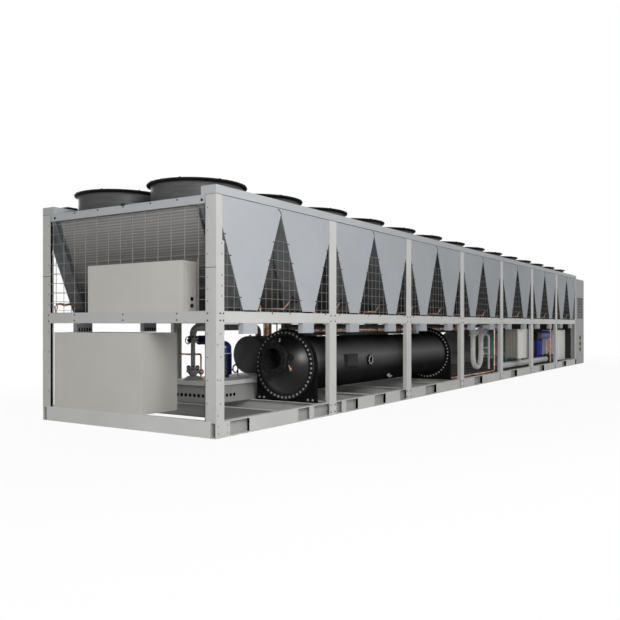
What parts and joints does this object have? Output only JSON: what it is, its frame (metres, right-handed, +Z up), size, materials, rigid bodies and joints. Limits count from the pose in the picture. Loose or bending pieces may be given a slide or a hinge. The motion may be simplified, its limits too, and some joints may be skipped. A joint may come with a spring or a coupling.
{
  "type": "air cooled water chiller",
  "caption": "Long air cooled water chiller: open steel frame, V-shaped condenser coils under two rows of fans, with a shell evaporator, compressors and control cabinets below.",
  "frame": {"origin": "centre of the plan at the underside of the base", "axes": "+X along the machine from the control end to the rear cabinet, +Y from the service side to the far side, +Z up"},
  "size_m": [14.16, 2.28, 2.245],
  "materials": {
    "frame_paint": "light grey powder coat, satin",
    "sheet_paint": "bluish grey coated sheet, satin",
    "box_paint": "warm grey powder coat, satin",
    "fan_paint": "dark grey coated steel, satin",
    "guard_wire": "black coated wire",
    "mesh_wire": "light grey coated wire",
    "coil_fins": "coated fins, matt",
    "insulation": "black closed-cell foam, matt",
    "pipe_insulation": "pale grey foam sleeve, matt",
    "copper": "bare copper tube, dull",
    "blue_paint": "blue enamel",
    "teal_paint": "teal enamel"
  },
  "bodies": {
    "root": {"base_rails": "frame_paint", "base_cross_members": "frame_paint", "base_closing_plates": "frame_paint", "front_floor_sheet": "frame_paint", "corner_posts": "frame_paint", "side_posts": "frame_paint", "mid_rails": "frame_paint", "end_mid_beams": "frame_paint", "top_rails": "frame_paint", "end_top_beams": "sheet_paint", "ridge_beams": "sheet_paint", "fan_deck": "sheet_paint", "fan_cowls": "fan_paint", "fan_guards_near": "guard_wire", "fan_guards_far": "guard_wire", "fan_motors": "fan_paint", "fan_impellers": "fan_paint", "coil_fins": "coil_fins", "coil_casings": "sheet_paint", "coil_trays": "fan_paint", "coil_feet": "sheet_paint", "v_plates_near": "sheet_paint", "v_plates_far": "sheet_paint", "side_guards_near_front": "mesh_wire", "side_guards_near_rear": "mesh_wire", "side_guards_far_front": "mesh_wire", "side_guards_far_rear": "mesh_wire", "front_guard": "mesh_wire", "upper_control_box": "box_paint", "lower_control_cabinet": "box_paint", "end_cabinet": "box_paint", "end_cabinet_grilles": "fan_paint", "end_cabinet_doors": "box_paint", "rear_bay_cabinet": "box_paint", "equipment_platform": "frame_paint", "evaporator_shell": "insulation", "evaporator_tube_sheets": "insulation", "evaporator_front_head": "insulation", "evaporator_rear_head": "insulation", "shell_junction_box": "insulation", "sight_glass": "insulation", "oil_separator": "insulation", "separator_saddles": "insulation", "compressors": "teal_paint", "terminal_box": "box_paint", "suction_line": "pipe_insulation", "service_pipe": "pipe_insulation", "oil_line": "pipe_insulation", "line_valve": "fan_paint", "liquid_headers": "copper", "coil_pipes": "copper", "coil_valves": "guard_wire", "copper_risers": "copper", "discharge_line": "copper", "vent_riser": "pipe_insulation", "riser_branch": "copper", "valve_actuator": "blue_paint", "filter_drier": "blue_paint", "motor_valve": "blue_paint", "valve_motor": "guard_wire"}
  },
  "joints": []
}
